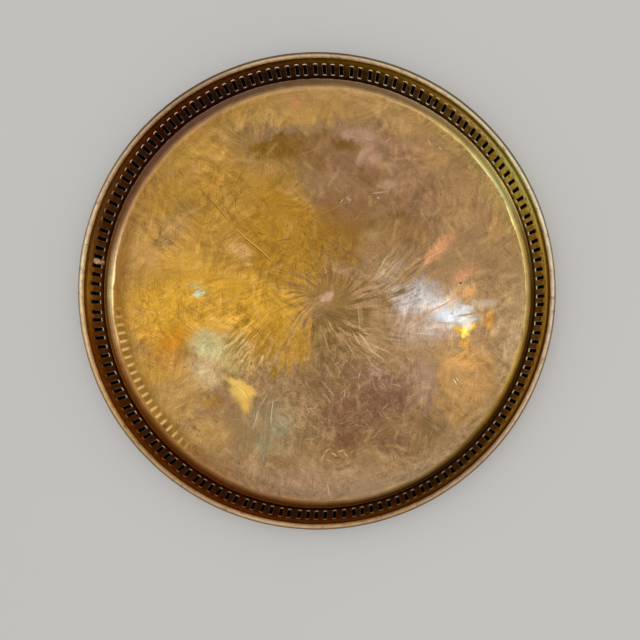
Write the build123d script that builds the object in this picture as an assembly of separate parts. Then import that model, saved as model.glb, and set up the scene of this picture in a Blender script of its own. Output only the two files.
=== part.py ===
"""A round brass plate with a pierced gallery, lying on its floor.

The pan is spun from sheet, and its flange turns up inside a pierced band. Solder fills the lap between the two. The
band leans out, bends at a shoulder above its slots, and ends inside a split tube, which is the bead of the rim. A core
wire fills the tube, and solder fills the groove below it. The band is a strip, closed by solder at a butt seam.

Millimetres and degrees. The origin is at the middle of the underside, and +Z points out of the open side.
"""

from build123d import *
from build123d.topology import SkipClean
import os
from math import asin, cos, radians, sin
from random import Random

# Outside
rim_diameter = 381.0  # over the bead
overall_height = 25.0

# Bead and core wire
bead_diameter = 4.4
bead_sheet = 0.6  # wall of the split tube
rim_solder_leg = 0.9  # along the band, below the bead

# Gallery band
band_sheet = 1.0
shoulder_reach = 5.2  # from the middle of the bead to the bend
shoulder_lean = 48.0  # from upright
shoulder_bend = 1.2  # radius on the outside of the bend
wall_lean = 27.0  # from upright

# Slots in the band
slot_count = 153
slot_length = 8.4
slot_width = 3.0
slot_corner = 0.8
slot_below_bend = 3.1
slot_drift = 0.7  # largest shift of a hand-punched slot along the band
slot_rise = 0.2  # largest shift of a slot up or down the band
slot_tilt = 2.0  # largest turn of a slot in the band
slot_seed = 12

# Seam that closes the band
seam_direction = 172.0  # from +X, about +Z
seam_gap = 0.2
seam_solder_width = 2.6
seam_solder_sheet = 0.25  # how far the solder stands off each side of the band
seam_solder_margin = 1.5  # of bare band above and below it

# Pan
pan_sheet = 1.0
cove_radius = 5.0  # inside the pan, between floor and flange
lap = 2.2  # of the band over the flange
solder_film = 0.15
foot_solder_leg = 0.7  # below the band's foot and above the flange's edge

# The section is drawn at azimuth 0, where X is the radius.
up_wall = Vector(sin(radians(wall_lean)), 0, cos(radians(wall_lean)))
out_wall = Vector(up_wall.Z, 0, -up_wall.X)
up_shoulder = Vector(sin(radians(shoulder_lean)), 0, cos(radians(shoulder_lean)))
out_shoulder = Vector(up_shoulder.Z, 0, -up_shoulder.X)

bead_radius = bead_diameter / 2
wire_radius = bead_radius - bead_sheet
bead_middle = Vector(rim_diameter / 2 - bead_radius, 0, overall_height - bead_radius)
bend = bead_middle - up_shoulder * shoulder_reach  # middle of the band's sheet

# Offsets from the middle of the band's sheet, square to the wall
band_face = band_sheet / 2
flange_outside = -(band_face + solder_film)
flange_inside = flange_outside - pan_sheet


def on_wall(offset, height):
    """The point at this height on the line beside the wall's middle line."""
    start = bend + out_wall * offset
    return start + up_wall * ((height - start.Z) / up_wall.Z)


# The flange is straight from where the cove's outer arc meets it.
cove_top = on_wall(flange_outside, (cove_radius + pan_sheet) * (1 - up_wall.X))
foot = cove_top + up_wall * foot_solder_leg  # band's foot, on the flange's outside
flange_top = foot + up_wall * lap
band_foot = foot + out_wall * solder_film  # inner corner of the band's lower edge


def section(*lines):
    """The face inside the closed outline of these lines."""
    return make_face(Curve() + list(lines))


def turned(face, arc=360.0, start=0.0):
    """The face turned about Z from the start azimuth through arc."""
    return Rot(0, 0, start) * revolve(face, Axis.Z, arc)


def thin_ring(face, lengths=8):
    """The face turned right round, with its skin left in equal lengths: one long thin skin triangulates badly."""
    length = 360 / lengths
    with SkipClean():
        return turned(face, length) + [turned(face, length, i * length) for i in range(1, lengths)]


def mitre(side):
    """Where the band's bend comes on one side of its sheet: -1 inside the plate, 1 outside."""
    along = (out_wall + out_shoulder) * (1 / (1 + out_wall.dot(out_shoulder)))
    return bend + along * (side * band_face)


def band_section():
    band_top = bead_middle - up_shoulder * wire_radius
    top_inside = band_top - out_shoulder * band_face
    top_outside = band_top + out_shoulder * band_face
    foot_outside = band_foot + out_wall * band_sheet
    inside = FilletPolyline(band_foot, mitre(-1), top_inside, radius=shoulder_bend + band_sheet)
    outside = FilletPolyline(top_outside, mitre(1), foot_outside, radius=shoulder_bend)
    return section(inside, Line(top_inside, top_outside), outside, Line(foot_outside, band_foot))


def pan():
    floor_top = Vector(0, 0, pan_sheet)
    flange_edge = flange_top - out_wall * pan_sheet
    under = FilletPolyline((0, 0, 0), on_wall(flange_outside, 0), flange_top, radius=cove_radius + pan_sheet)
    over = FilletPolyline(flange_edge, on_wall(flange_inside, pan_sheet), floor_top, radius=cove_radius)
    return turned(section(under, Line(flange_top, flange_edge), over, Line(floor_top, (0, 0, 0))))


def slot_punch():
    """One punch, square to the wall at azimuth 0."""
    middle = bend - up_wall * (slot_below_bend + slot_length / 2)
    face = Plane(origin=middle, x_dir=(0, 1, 0), z_dir=out_wall)
    return face, extrude(RectangleRounded(slot_width, slot_length, slot_corner), 2 * band_sheet, both=True)


def gallery_band():
    """The pierced strip. Its slots are punched by hand, so each is a little off its place."""
    face, punch = slot_punch()
    seam_arc = seam_gap / radians(1) / bend.X
    strip = turned(band_section(), 360 - seam_arc, seam_direction + seam_arc / 2)
    hand = Random(slot_seed)
    punches = []
    for i in range(slot_count):
        drift = hand.uniform(-slot_drift, slot_drift)
        rise = hand.uniform(-slot_rise, slot_rise)
        tilt = hand.uniform(-slot_tilt, slot_tilt)
        around = seam_direction + (i + 0.5) * 360 / slot_count
        punches.append(Rot(0, 0, around) * face.location * Pos(drift, rise, 0) * Rot(0, 0, tilt) * punch)
    return strip - punches


def band_seam_solder():
    """Solder in the band's butt seam, spread a little over both sides of the band."""
    seam_arc = seam_gap / radians(1) / bend.X
    spread_arc = seam_solder_width / radians(1) / bend.X
    key = turned(band_section(), seam_arc, seam_direction - seam_arc / 2)
    low = flange_top + up_wall * (foot_solder_leg + seam_solder_margin)
    high = bend - up_wall * (slot_below_bend + seam_solder_margin / 2)
    solder = key
    for side in (-1, 1):
        near = side * band_face
        far = near + side * seam_solder_sheet
        patch = Polyline(
            on_wall(near, low.Z), on_wall(near, high.Z), on_wall(far, high.Z), on_wall(far, low.Z), close=True
        )
        solder += turned(section(patch), spread_arc, seam_direction - spread_arc / 2)
    return solder


def foot_solder():
    """Solder in the lap, with a fillet below the band's foot and one on the flange's edge."""
    above_edge = flange_top + out_wall * solder_film + up_wall * foot_solder_leg
    on_edge = flange_top - out_wall * foot_solder_leg
    below_foot = band_foot + out_wall * foot_solder_leg
    outline = Polyline(cove_top, below_foot, band_foot, above_edge, on_edge, flange_top, close=True)
    return thin_ring(section(outline))


def rim_solder():
    """The fillet between the bead and the inside of the band."""
    touch = asin(band_face / bead_radius)
    reach = rim_solder_leg / bead_radius

    def on_bead(angle):
        return bead_middle - (up_shoulder * cos(angle) + out_shoulder * sin(angle)) * bead_radius

    corner = on_bead(touch)
    on_band = corner - up_shoulder * rim_solder_leg
    bead_side = ThreePointArc(on_bead(touch + reach), on_bead(touch + reach / 2), corner)
    return thin_ring(section(bead_side, Line(corner, on_band), Line(on_band, on_bead(touch + reach))))


def rim_section():
    """The plane of the section at the middle of the bead, with its X down the band's shoulder."""
    return Plane(origin=bead_middle, x_dir=up_shoulder * -1, z_dir=(0, -1, 0))


def rim_bead():
    """The split tube. The band goes in at its split."""
    split = Pos(bead_radius, 0) * Rectangle(bead_diameter, band_sheet)
    tube = Circle(bead_radius) - Circle(wire_radius) - split
    return thin_ring(rim_section() * tube)


def rim_wire():
    return thin_ring(rim_section() * Circle(wire_radius))


nodes = {
    "pan": pan,
    "gallery_band": gallery_band,
    "band_seam_solder": band_seam_solder,
    "foot_solder": foot_solder,
    "rim_bead": rim_bead,
    "rim_wire": rim_wire,
    "rim_solder": rim_solder,
}

os.makedirs("parts", exist_ok=True)
for name, build in nodes.items():
    export_step(build(), f"parts/{name}.step")
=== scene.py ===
"""Looks for the brass offering plate: meshes, materials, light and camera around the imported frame.

Sizes are millimetres and degrees in the plate's own frame, unless a comment says otherwise. The plate lies
flat, its axis is +Z, and a direction on it is an angle about +Z from +X.
"""

from math import atan2, cos, degrees, pi, radians, sin, tan
from random import Random

import bmesh
import bpy
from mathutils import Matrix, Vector, noise


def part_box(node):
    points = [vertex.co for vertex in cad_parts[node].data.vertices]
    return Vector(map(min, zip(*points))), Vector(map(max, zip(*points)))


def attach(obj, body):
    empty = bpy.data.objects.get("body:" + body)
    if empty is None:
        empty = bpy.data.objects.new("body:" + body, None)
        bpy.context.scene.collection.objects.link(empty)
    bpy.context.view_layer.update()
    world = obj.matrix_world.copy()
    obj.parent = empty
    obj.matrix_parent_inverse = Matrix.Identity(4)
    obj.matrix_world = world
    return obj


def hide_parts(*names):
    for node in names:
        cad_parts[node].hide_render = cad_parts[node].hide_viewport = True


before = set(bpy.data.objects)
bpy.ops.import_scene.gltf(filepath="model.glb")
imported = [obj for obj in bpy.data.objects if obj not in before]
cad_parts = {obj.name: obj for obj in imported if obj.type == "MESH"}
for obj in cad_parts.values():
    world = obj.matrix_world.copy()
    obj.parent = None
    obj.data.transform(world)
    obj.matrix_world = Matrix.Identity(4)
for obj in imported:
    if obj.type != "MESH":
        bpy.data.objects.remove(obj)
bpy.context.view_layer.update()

MM = 0.001

# ---- The plate's section, as (radius, height)

RIM_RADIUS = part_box("rim_bead")[1].x / MM
RIM_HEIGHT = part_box("rim_bead")[1].z / MM
BEAD_RADIUS = 2.2
WIRE_RADIUS = 1.6
BAND_FACE = 0.5  # from the middle of the band's sheet
SHOULDER_REACH = 5.2  # from the middle of the bead to the bend
SHOULDER_BEND = 1.7  # radius in the middle of the sheet
PAN_SHEET = 1.0
COVE_RADIUS = 5.0
SOLDER_FILM = 0.15
LAP = 2.2
FOOT_LEG = 0.7
WALL_LEAN = 27.0  # from upright
SHOULDER_LEAN = 48.0

SLOT_COUNT = 153
SLOT_LENGTH = 8.4
SLOT_WIDTH = 3.0
SLOT_CORNER = 0.8
SLOT_BELOW_BEND = 3.1
SLOT_DRIFT = 0.7
SLOT_RISE = 0.2
SLOT_TILT = 2.0
SLOT_SEED = 12
SEAM_DIRECTION = 172.0


def towards(angle):
    """The direction at this angle from the first axis to the second."""
    return Vector((cos(angle), sin(angle)))


def leaning(lean):
    """The direction this far from upright, outwards."""
    return Vector((sin(radians(lean)), cos(radians(lean))))


def across(direction):
    """The direction square to this one, outwards."""
    return Vector((direction.y, -direction.x))


UP_WALL = leaning(WALL_LEAN)
OUT_WALL = across(UP_WALL)
UP_SHOULDER = leaning(SHOULDER_LEAN)
OUT_SHOULDER = across(UP_SHOULDER)
BEAD_MIDDLE = Vector((RIM_RADIUS - BEAD_RADIUS, RIM_HEIGHT - BEAD_RADIUS))
BEND = BEAD_MIDDLE - UP_SHOULDER * SHOULDER_REACH
FLANGE_OUTSIDE = -(BAND_FACE + SOLDER_FILM)
FLANGE_INSIDE = FLANGE_OUTSIDE - PAN_SHEET


def on_wall(offset, height):
    """The point at this height on the line beside the wall's middle line."""
    start = BEND + OUT_WALL * offset
    return start + UP_WALL * ((height - start.y) / UP_WALL.y)


COVE_MIDDLE = on_wall(FLANGE_INSIDE - COVE_RADIUS, PAN_SHEET + COVE_RADIUS)
FLOOR_RADIUS = COVE_MIDDLE.x
COVE_TOP = on_wall(FLANGE_OUTSIDE, (COVE_RADIUS + PAN_SHEET) * (1 - UP_WALL.x))
FOOT = COVE_TOP + UP_WALL * FOOT_LEG
FLANGE_TOP = FOOT + UP_WALL * LAP
SLOT_MIDDLE = BEND - UP_WALL * (SLOT_BELOW_BEND + SLOT_LENGTH / 2)


def arc(middle, radius, start, end, steps):
    """Points on an arc, with angles in degrees from the radius direction towards +Z."""
    turn = (end - start) / steps
    return [middle + towards(radians(start + turn * i)) * radius for i in range(steps + 1)]


def beyond(start, *steps):
    """The values this far beyond a radius or height of the section."""
    return [start + step for step in steps]


# ---- Meshes

RIM_SWAY = 0.22  # how far the hand-made rim leans in off true, at most


def wander(*place):
    """Smooth noise, about -1 to 1."""
    return noise.fractal(Vector(place), 1.0, 2.0, 3)


def wander_round(angle, fineness, seed):
    """Smooth noise round the plate."""
    return wander(fineness * cos(angle), fineness * sin(angle), seed)


def spun(point, angle):
    """The section's point turned to this angle, in metres, with the gallery's sway."""
    sway = -RIM_SWAY * (point.y / RIM_HEIGHT) * (0.5 + 0.5 * wander_round(angle, 3, 4))
    r = point.x + sway
    return (r * cos(angle) * MM, r * sin(angle) * MM, point.y * MM)


def angles(columns):
    """Even angles right round the plate, in radians."""
    return [2 * pi * c / columns for c in range(columns)]


def away_from(place, angle):
    """How far apart two angles are, in radians."""
    return abs((angle - place + pi) % (2 * pi) - pi)


def make_piece(name, verts, faces, material, node):
    """A mesh piece that stands for a CAD node and rides on the plate."""
    mesh = bpy.data.meshes.new(name)
    mesh.from_pydata(verts, [], faces)
    shape = bmesh.new()
    shape.from_mesh(mesh)
    bmesh.ops.recalc_face_normals(shape, faces=shape.faces)
    shape.to_mesh(mesh)
    shape.free()
    mesh.shade_smooth()
    mesh.materials.append(material)
    piece = bpy.data.objects.new(name, mesh)
    bpy.context.scene.collection.objects.link(piece)
    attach(piece, "root")
    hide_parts(node)
    return piece


def ring_faces(columns, rows, closed=True):
    """Faces of a grid that goes round the plate. A closed section joins its last row to its first."""
    faces = []
    for c in range(columns):
        here, there = c * rows, (c + 1) % columns * rows
        for k in range(rows if closed else rows - 1):
            up = (k + 1) % rows
            faces.append((here + k, there + k, there + up, here + up))
    return faces


def ring_piece(name, columns, section, material, node):
    """A piece that goes right round. The function section gives its closed outline at an angle."""
    verts = []
    for angle in angles(columns):
        outline = section(angle)
        verts += [spun(point, angle) for point in outline]
    return make_piece(name, verts, ring_faces(columns, len(outline)), material, node)


def loop_faces(first, second):
    """Faces between two closed loops with as many vertices each."""
    turned = zip(first, first[1:] + first[:1], second[1:] + second[:1], second)
    return list(turned)


def set_sharp(piece, angle):
    """Edges sharper than this angle stay crisp under smooth shading."""
    piece.data.set_sharp_from_angle(angle=radians(angle))


PAN_COLUMNS = 480
FLOOR_RINGS = 104
BASE_RINGS = 16
LIP_ROUND = 0.12
DENTS = ((0.10, 45, 7), (0.02, 12, 2))  # depth, size and seed of the floor's dents and ripples
DENTS_FADE = 12  # width of the flat edge that the dents die out over


def pan_outline():
    """The pan's section from the middle of its floor, over the flange, to the middle of its underside."""
    cove = arc(COVE_MIDDLE, COVE_RADIUS, -90, -WALL_LEAN, 14)
    under = arc(COVE_MIDDLE, COVE_RADIUS + PAN_SHEET, -WALL_LEAN, -90, 10)
    edge = FLANGE_TOP - OUT_WALL * PAN_SHEET
    floor = [Vector((cove[0].x * i / FLOOR_RINGS, PAN_SHEET)) for i in range(1, FLOOR_RINGS)]
    base = [Vector((under[-1].x * i / BASE_RINGS, 0)) for i in range(BASE_RINGS - 1, 0, -1)]
    lip = [edge - UP_WALL * LIP_ROUND, edge + OUT_WALL * LIP_ROUND]
    lip += [FLANGE_TOP - OUT_WALL * LIP_ROUND, FLANGE_TOP - UP_WALL * LIP_ROUND]
    return floor + cove + lip + under + base


def dented(point, angle, fade):
    """The floor's point, raised or lowered by its dents."""
    x, y = point.x * cos(angle), point.x * sin(angle)
    lift = sum(depth * wander(x / size, y / size, seed) for depth, size, seed in DENTS)
    return Vector((point.x, point.y + fade * lift))


def pan_piece(material):
    """The spun pan, with the shallow dents and ripples of an old floor."""
    outline = pan_outline()
    rows = len(outline)
    last_floor = FLOOR_RINGS - 2
    fades = [min(1, (outline[last_floor].x - point.x) / DENTS_FADE) for point in outline[:last_floor]]
    verts = []
    for angle in angles(PAN_COLUMNS):
        floor = [dented(point, angle, fade) for point, fade in zip(outline, fades)]
        verts += [spun(point, angle) for point in floor + outline[last_floor:]]
    faces = ring_faces(PAN_COLUMNS, rows, closed=False)
    top, bottom = len(verts), len(verts) + 1
    verts += [(0, 0, PAN_SHEET * MM), (0, 0, 0)]
    for c in range(PAN_COLUMNS):
        here, there = c * rows, (c + 1) % PAN_COLUMNS * rows
        faces.append((top, here, there))
        faces.append((bottom, there + rows - 1, here + rows - 1))
    return make_piece("pan_skin", verts, faces, material, "pan")


CELL_STEPS = 6  # columns of the band's mesh for each slot
BAND_COLUMNS = SLOT_COUNT * CELL_STEPS
ZONE_LOW = -5.1  # the part of the wall that a slot's mesh fills, from the slots' middle line
ZONE_HIGH = 6.8
DENT_REACH = 1.9  # of the pressed dent above a slot
LOOP_POINTS = 24
# Each loop round a slot: growth, rise of its top, lift of its sides and top off the face, and bare metal at
# its sides and top, where the bar above the slot carries a painted highlight.
SLOT_LOOPS = (
    (0.40, DENT_REACH, 0.0, 0.0, 0.0, 0.0),
    (0.32, DENT_REACH - 0.05, 0.01, 0.08, 0.2, 1.0),
    (0.22, DENT_REACH - 0.3, 0.02, 0.30, 0.4, 1.0),
    (0.12, DENT_REACH - 0.7, 0.03, -0.14, 0.8, 0.1),
    (0.02, 0.25, -0.05, -0.34, 1.0, 0.0),
    (0.0, 0.0, -0.2, -0.42, 1.0, 0.2),
)


def slot_loop(grow, rise):
    """The slot's outline grown by this much, with its top raised: points, each with 1 at the raised end."""
    half = Vector((SLOT_WIDTH / 2 - SLOT_CORNER, SLOT_LENGTH / 2 - SLOT_CORNER))
    radius = SLOT_CORNER + grow
    corners = [Vector((half.x * sx, half.y * sy)) for sx, sy in ((1, -1), (1, 1), (-1, 1), (-1, -1))]
    loop = []
    for quarter, corner in enumerate(corners):
        start = -90 + 90 * quarter
        side = (corner + corners[(quarter + 1) % 4]) / 2 + towards(radians(start + 90)) * radius
        for point in arc(corner, radius, start, start + 90, 4) + [side]:
            top = 1 if point.y > half.y else 0
            loop.append((point + Vector((0, rise * top)), top))
    return loop[-4:] + loop[:-4]


def band_rows(side):
    """Section points on one face of the band: below the slots, then above them to the bead."""
    face = BAND_FACE * side
    start = SLOT_MIDDLE + OUT_WALL * face
    foot_height = FOOT.y + OUT_WALL.y * SOLDER_FILM
    foot = (foot_height - start.y) / UP_WALL.y + (0 if side < 0 else -0.4)
    low = [start + UP_WALL * (foot + (ZONE_LOW - foot) * i / 4) for i in range(5)]
    turn = SHOULDER_LEAN - WALL_LEAN
    reach = SHOULDER_BEND * tan(radians(turn / 2))
    middle = BEND - UP_WALL * reach + OUT_WALL * SHOULDER_BEND
    curve = [middle - across(leaning(WALL_LEAN + turn * i / 5)) * (SHOULDER_BEND - face) for i in range(6)]
    top = BEAD_MIDDLE - UP_SHOULDER * WIRE_RADIUS + OUT_SHOULDER * face
    shoulder = [curve[-1].lerp(top, i / 4) for i in range(1, 5)]
    return low, [start + UP_WALL * ZONE_HIGH] + curve + shoulder


def column_angle(column):
    """The direction of this column of the band's mesh, in radians."""
    return radians(SEAM_DIRECTION) + 2 * pi * column / BAND_COLUMNS


class BandSkin:
    """The mesh of the pierced band: its vertices, how bare the metal is at each, and its faces."""

    def __init__(self):
        self.verts, self.bare, self.faces = [], [], []
        self.edges = {}

    def add(self, point, angle, bare=0.0):
        self.verts.append(spun(point, angle))
        self.bare.append(bare)
        return len(self.verts) - 1

    def add_strips(self, side):
        """The whole rows below and above the slots, and the posts between the slots, on one face."""
        for part, points in zip(("low", "high"), band_rows(side)):
            for c in range(BAND_COLUMNS):
                self.edges[side, part, c] = [self.add(point, column_angle(c)) for point in points]
            for c in range(BAND_COLUMNS):
                here, there = self.edges[side, part, c], self.edges[side, part, (c + 1) % BAND_COLUMNS]
                for k in range(len(points) - 1):
                    self.faces.append((here[k], there[k], there[k + 1], here[k + 1]))
        face = SLOT_MIDDLE + OUT_WALL * (BAND_FACE * side)
        step = (ZONE_HIGH - ZONE_LOW) / CELL_STEPS
        for cell in range(SLOT_COUNT):
            points = [face + UP_WALL * (ZONE_LOW + step * j) for j in range(1, CELL_STEPS)]
            angle = column_angle(cell * CELL_STEPS)
            self.edges[side, "post", cell] = [self.add(point, angle) for point in points]

    def close_edges(self):
        """The band's foot, and its top inside the bead."""
        for c in range(BAND_COLUMNS):
            after = (c + 1) % BAND_COLUMNS
            for part, k in (("low", 0), ("high", -1)):
                corners = ((-1, c), (-1, after), (1, after), (1, c))
                self.faces.append(tuple(self.edges[side, part, column][k] for side, column in corners))

    def cell_frame(self, side, cell):
        """The vertices round one slot's part of the wall, in the order of the slot's own loops."""
        columns = [(cell * CELL_STEPS + i) % BAND_COLUMNS for i in range(CELL_STEPS + 1)]
        bottom = [self.edges[side, "low", c][-1] for c in columns]
        top = [self.edges[side, "high", c][0] for c in reversed(columns)]
        right = self.edges[side, "post", (cell + 1) % SLOT_COUNT]
        left = self.edges[side, "post", cell][::-1]
        return bottom + right + top + left

    def add_slot(self, cell, hand, burr):
        """One slot, cut a little off its place, with rolled and ragged edges."""
        drift = hand.uniform(-SLOT_DRIFT, SLOT_DRIFT)
        rise = hand.uniform(-SLOT_RISE, SLOT_RISE)
        tilt = radians(hand.uniform(-SLOT_TILT, SLOT_TILT))
        around = radians(SEAM_DIRECTION) + 2 * pi * (cell + 0.5) / SLOT_COUNT
        ragged = [burr.uniform(-0.06, 0.06) for _ in range(LOOP_POINTS)]

        def slot_ring(side, grow, top_rise, side_lift, top_lift, side_bare, top_bare):
            made = []
            for (point, top), rough in zip(slot_loop(grow, top_rise), ragged):
                u = point.x * (1 + 0.5 * rough) * cos(tilt) - point.y * sin(tilt) + drift
                v = point.x * sin(tilt) + point.y * (1 + 0.3 * rough) * cos(tilt) + rise
                lift = top_lift * -side if top else side_lift
                spot = SLOT_MIDDLE + UP_WALL * v + OUT_WALL * (side * (BAND_FACE + lift))
                made.append(self.add(spot, around + u / spot.x, top_bare if top else side_bare))
            return made

        rims = []
        for side in (-1, 1):
            rings = [self.cell_frame(side, cell)] + [slot_ring(side, *step) for step in SLOT_LOOPS]
            for outer, inner in zip(rings, rings[1:]):
                self.faces += loop_faces(outer, inner)
            rims.append(rings[-1])
        self.faces += loop_faces(*rims)


def gallery_piece(material):
    """The pierced band. Its slots are the CAD's, with rolled edges. 'cut' marks where bare metal shows, and
    the bars above the slots that take a painted highlight.
    """
    skin = BandSkin()
    for side in (-1, 1):
        skin.add_strips(side)
    skin.close_edges()
    hand = Random(SLOT_SEED)
    burr = Random(SLOT_SEED + 1)
    for cell in range(SLOT_COUNT):
        skin.add_slot(cell, hand, burr)
    piece = make_piece("gallery_skin", skin.verts, skin.faces, material, "gallery_band")
    mark = piece.data.attributes.new("cut", "FLOAT", "POINT")
    mark.data.foreach_set("value", skin.bare)
    set_sharp(piece, 35)
    return piece


BEAD_COLUMNS = 1080
BEAD_STEPS = 22
SPLIT_DIRECTION = -90 - SHOULDER_LEAN  # where the band goes into the bead
WEAR_RADIUS = 188  # where the noise of the wear is taken
NICKS = 46
NICK_HALF = 0.006  # radians


def bead_piece(material):
    """The split tube of the rim, worn uneven, with nicks across its top."""
    gap = degrees(BAND_FACE / BEAD_RADIUS) + 2
    first, last = SPLIT_DIRECTION + gap, SPLIT_DIRECTION + 360 - gap
    outer = arc(Vector((0, 0)), 1, first, last, BEAD_STEPS)
    inner = arc(Vector((0, 0)), WIRE_RADIUS / BEAD_RADIUS, last, first, 8)
    draw = Random(31).uniform
    marks = [(draw(0, 2 * pi), draw(40, 160), draw(0.1, 0.3)) for _ in range(NICKS)]

    def section(angle):
        x, y = towards(angle) * WEAR_RADIUS
        near = [mark for mark in marks if away_from(mark[0], angle) < NICK_HALF]
        outline = []
        for spot in outer:
            coarse = wander(x / 9, y / 9, spot.y)
            worn = 0.05 + 0.05 * coarse + 0.03 * wander(x / 2.5, y / 2.5, spot.y * 2)
            turn = degrees(atan2(spot.y, spot.x)) % 360
            for _, place, depth in near:
                worn += depth * max(0, 1 - abs(turn - place) / 50) * 0.5
            outline.append(BEAD_MIDDLE + spot * (BEAD_RADIUS * (1 - max(0, worn) * 0.6)))
        return outline + [BEAD_MIDDLE + spot * BEAD_RADIUS for spot in inner]

    piece = ring_piece("bead_skin", BEAD_COLUMNS, section, material, "rim_bead")
    set_sharp(piece, 50)
    return piece


SOLDER_RUNS = 70
SOLDER_HOLLOW = ((0.12, 0.16), (0.35, 0.12), (0.65, 0.02))  # way up the fillet's face, and its depth there


def rim_solder_piece(material):
    """The ragged fillet under the bead, with short runs of solder down the band."""
    draw = Random(5).uniform
    runs = [(draw(0, 2 * pi), draw(0.003, 0.012), draw(0.4, 1.5)) for _ in range(SOLDER_RUNS)]
    start = BEAD_MIDDLE - UP_SHOULDER * (BEAD_RADIUS - 0.1) - OUT_SHOULDER * (BAND_FACE - 0.05)
    high = BEAD_MIDDLE - UP_SHOULDER * (BEAD_RADIUS * 0.78) - OUT_SHOULDER * (BEAD_RADIUS * 0.55)
    inside = start.lerp(high, 0.6) + UP_SHOULDER * 0.15

    def section(angle):
        leg = 0.75 + 0.3 * wander_round(angle, 40, 1)
        for place, width, length in runs:
            away = away_from(place, angle) / width
            if away < 1:
                leg += length * (1 - away * away)
        tip = start - UP_SHOULDER * max(0.25, leg)
        hollow = [tip.lerp(high, share) - OUT_SHOULDER * depth for share, depth in SOLDER_HOLLOW]
        return [start, tip, *hollow, high, inside]

    return ring_piece("rim_fillet", 1440, section, material, "rim_solder")


def foot_solder_piece(material):
    """The solder line on the flange's edge, uneven along its length, and the fillet under the band."""
    above = FLANGE_TOP + OUT_WALL * SOLDER_FILM
    low_edge = FOOT + OUT_WALL * SOLDER_FILM

    def section(angle):
        leg = FOOT_LEG * (1 + 0.5 * wander_round(angle, 30, 9))
        width = FOOT_LEG * (0.95 + 0.35 * wander_round(angle, 55, 3))
        return [
            COVE_TOP,
            low_edge + OUT_WALL * 0.6 - UP_WALL * 0.1,
            low_edge + UP_WALL * 0.1,
            above + UP_WALL * leg,
            above + UP_WALL * leg * 0.55 - OUT_WALL * 0.16,
            above + UP_WALL * 0.16 - OUT_WALL * width * 0.6,
            FLANGE_TOP - OUT_WALL * width - UP_WALL * 0.02,
            FLANGE_TOP - UP_WALL * 0.2 + OUT_WALL * 0.02,
        ]

    return ring_piece("foot_fillet", 1200, section, material, "foot_solder")


SMEAR_LOW = -6.4  # the seam's smear of solder, from the slots' middle line
SMEAR_LENGTH = 10.6
SMEAR_ROWS = 40
SMEAR_STEPS = 26


def smear_point(side, i, j):
    """A point of the smear: i goes across it and j up it."""
    v = SMEAR_LOW + SMEAR_LENGTH * j / SMEAR_ROWS
    wide = 1.55 + 0.75 * wander(v / 2.2, side, 5)
    if side < 0:
        wide += 0.9 * max(0, 1 - abs(v - 1.5) / 4)
    share = i / SMEAR_STEPS * 2 - 1
    u = share * wide
    crown = 1 - share ** 2
    end = min(1, j / 3, (SMEAR_ROWS - j) / 3)
    thick = (0.30 * crown ** 0.6 * (1 + 0.4 * wander(u / 1.2, v / 1.5, side + 3))) * end - 0.04
    spot = SLOT_MIDDLE + UP_WALL * v + OUT_WALL * (side * (BAND_FACE + thick))
    return spun(spot, radians(SEAM_DIRECTION) + u / spot.x)


def seam_solder_piece(material):
    """The smear of solder over the band's seam, inside and outside, thick at its middle."""
    row = SMEAR_STEPS + 1
    half = (SMEAR_ROWS + 1) * row
    verts, faces = [], []
    for side in (-1, 1):
        first = len(verts)
        verts += [smear_point(side, i, j) for j in range(SMEAR_ROWS + 1) for i in range(row)]
        for j in range(SMEAR_ROWS):
            for i in range(SMEAR_STEPS):
                a = first + j * row + i
                faces.append((a, a + 1, a + 1 + row, a + row))
    rim = [*range(SMEAR_STEPS)] + [SMEAR_STEPS + j * row for j in range(SMEAR_ROWS)]
    rim += [SMEAR_ROWS * row + i for i in range(SMEAR_STEPS, 0, -1)]
    rim += [j * row for j in range(SMEAR_ROWS, 0, -1)]
    for here, after in zip(rim, rim[1:] + rim[:1]):
        faces.append((here, after, after + half, here + half))
    return make_piece("seam_smear", verts, faces, material, "band_seam_solder")


# ---- Materials

LEVEL = (1, 1, 0)  # a place times this lies in the plate's plane


def linear(colour):
    """A display colour, 0 to 255, as scene values."""
    parts = [c / 255 for c in colour]
    return tuple(c / 12.92 if c <= 0.04045 else ((c + 0.055) / 1.055) ** 2.4 for c in parts) + (1.0,)


class Result:
    """What a node gives. Arithmetic on it adds the nodes that work out the answer."""

    def __init__(self, socket, calculate):
        self.socket, self.calculate = socket, calculate

    def __add__(self, other):
        return self.calculate("ADD", self, other)

    def __radd__(self, other):
        return self.calculate("ADD", other, self)

    def __sub__(self, other):
        return self.calculate("SUBTRACT", self, other)

    def __mul__(self, other):
        return self.calculate("MULTIPLY", self, other)

    def __truediv__(self, other):
        return self.calculate("DIVIDE", self, other)

    def __abs__(self):
        return self.calculate("ABSOLUTE", self)


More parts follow.
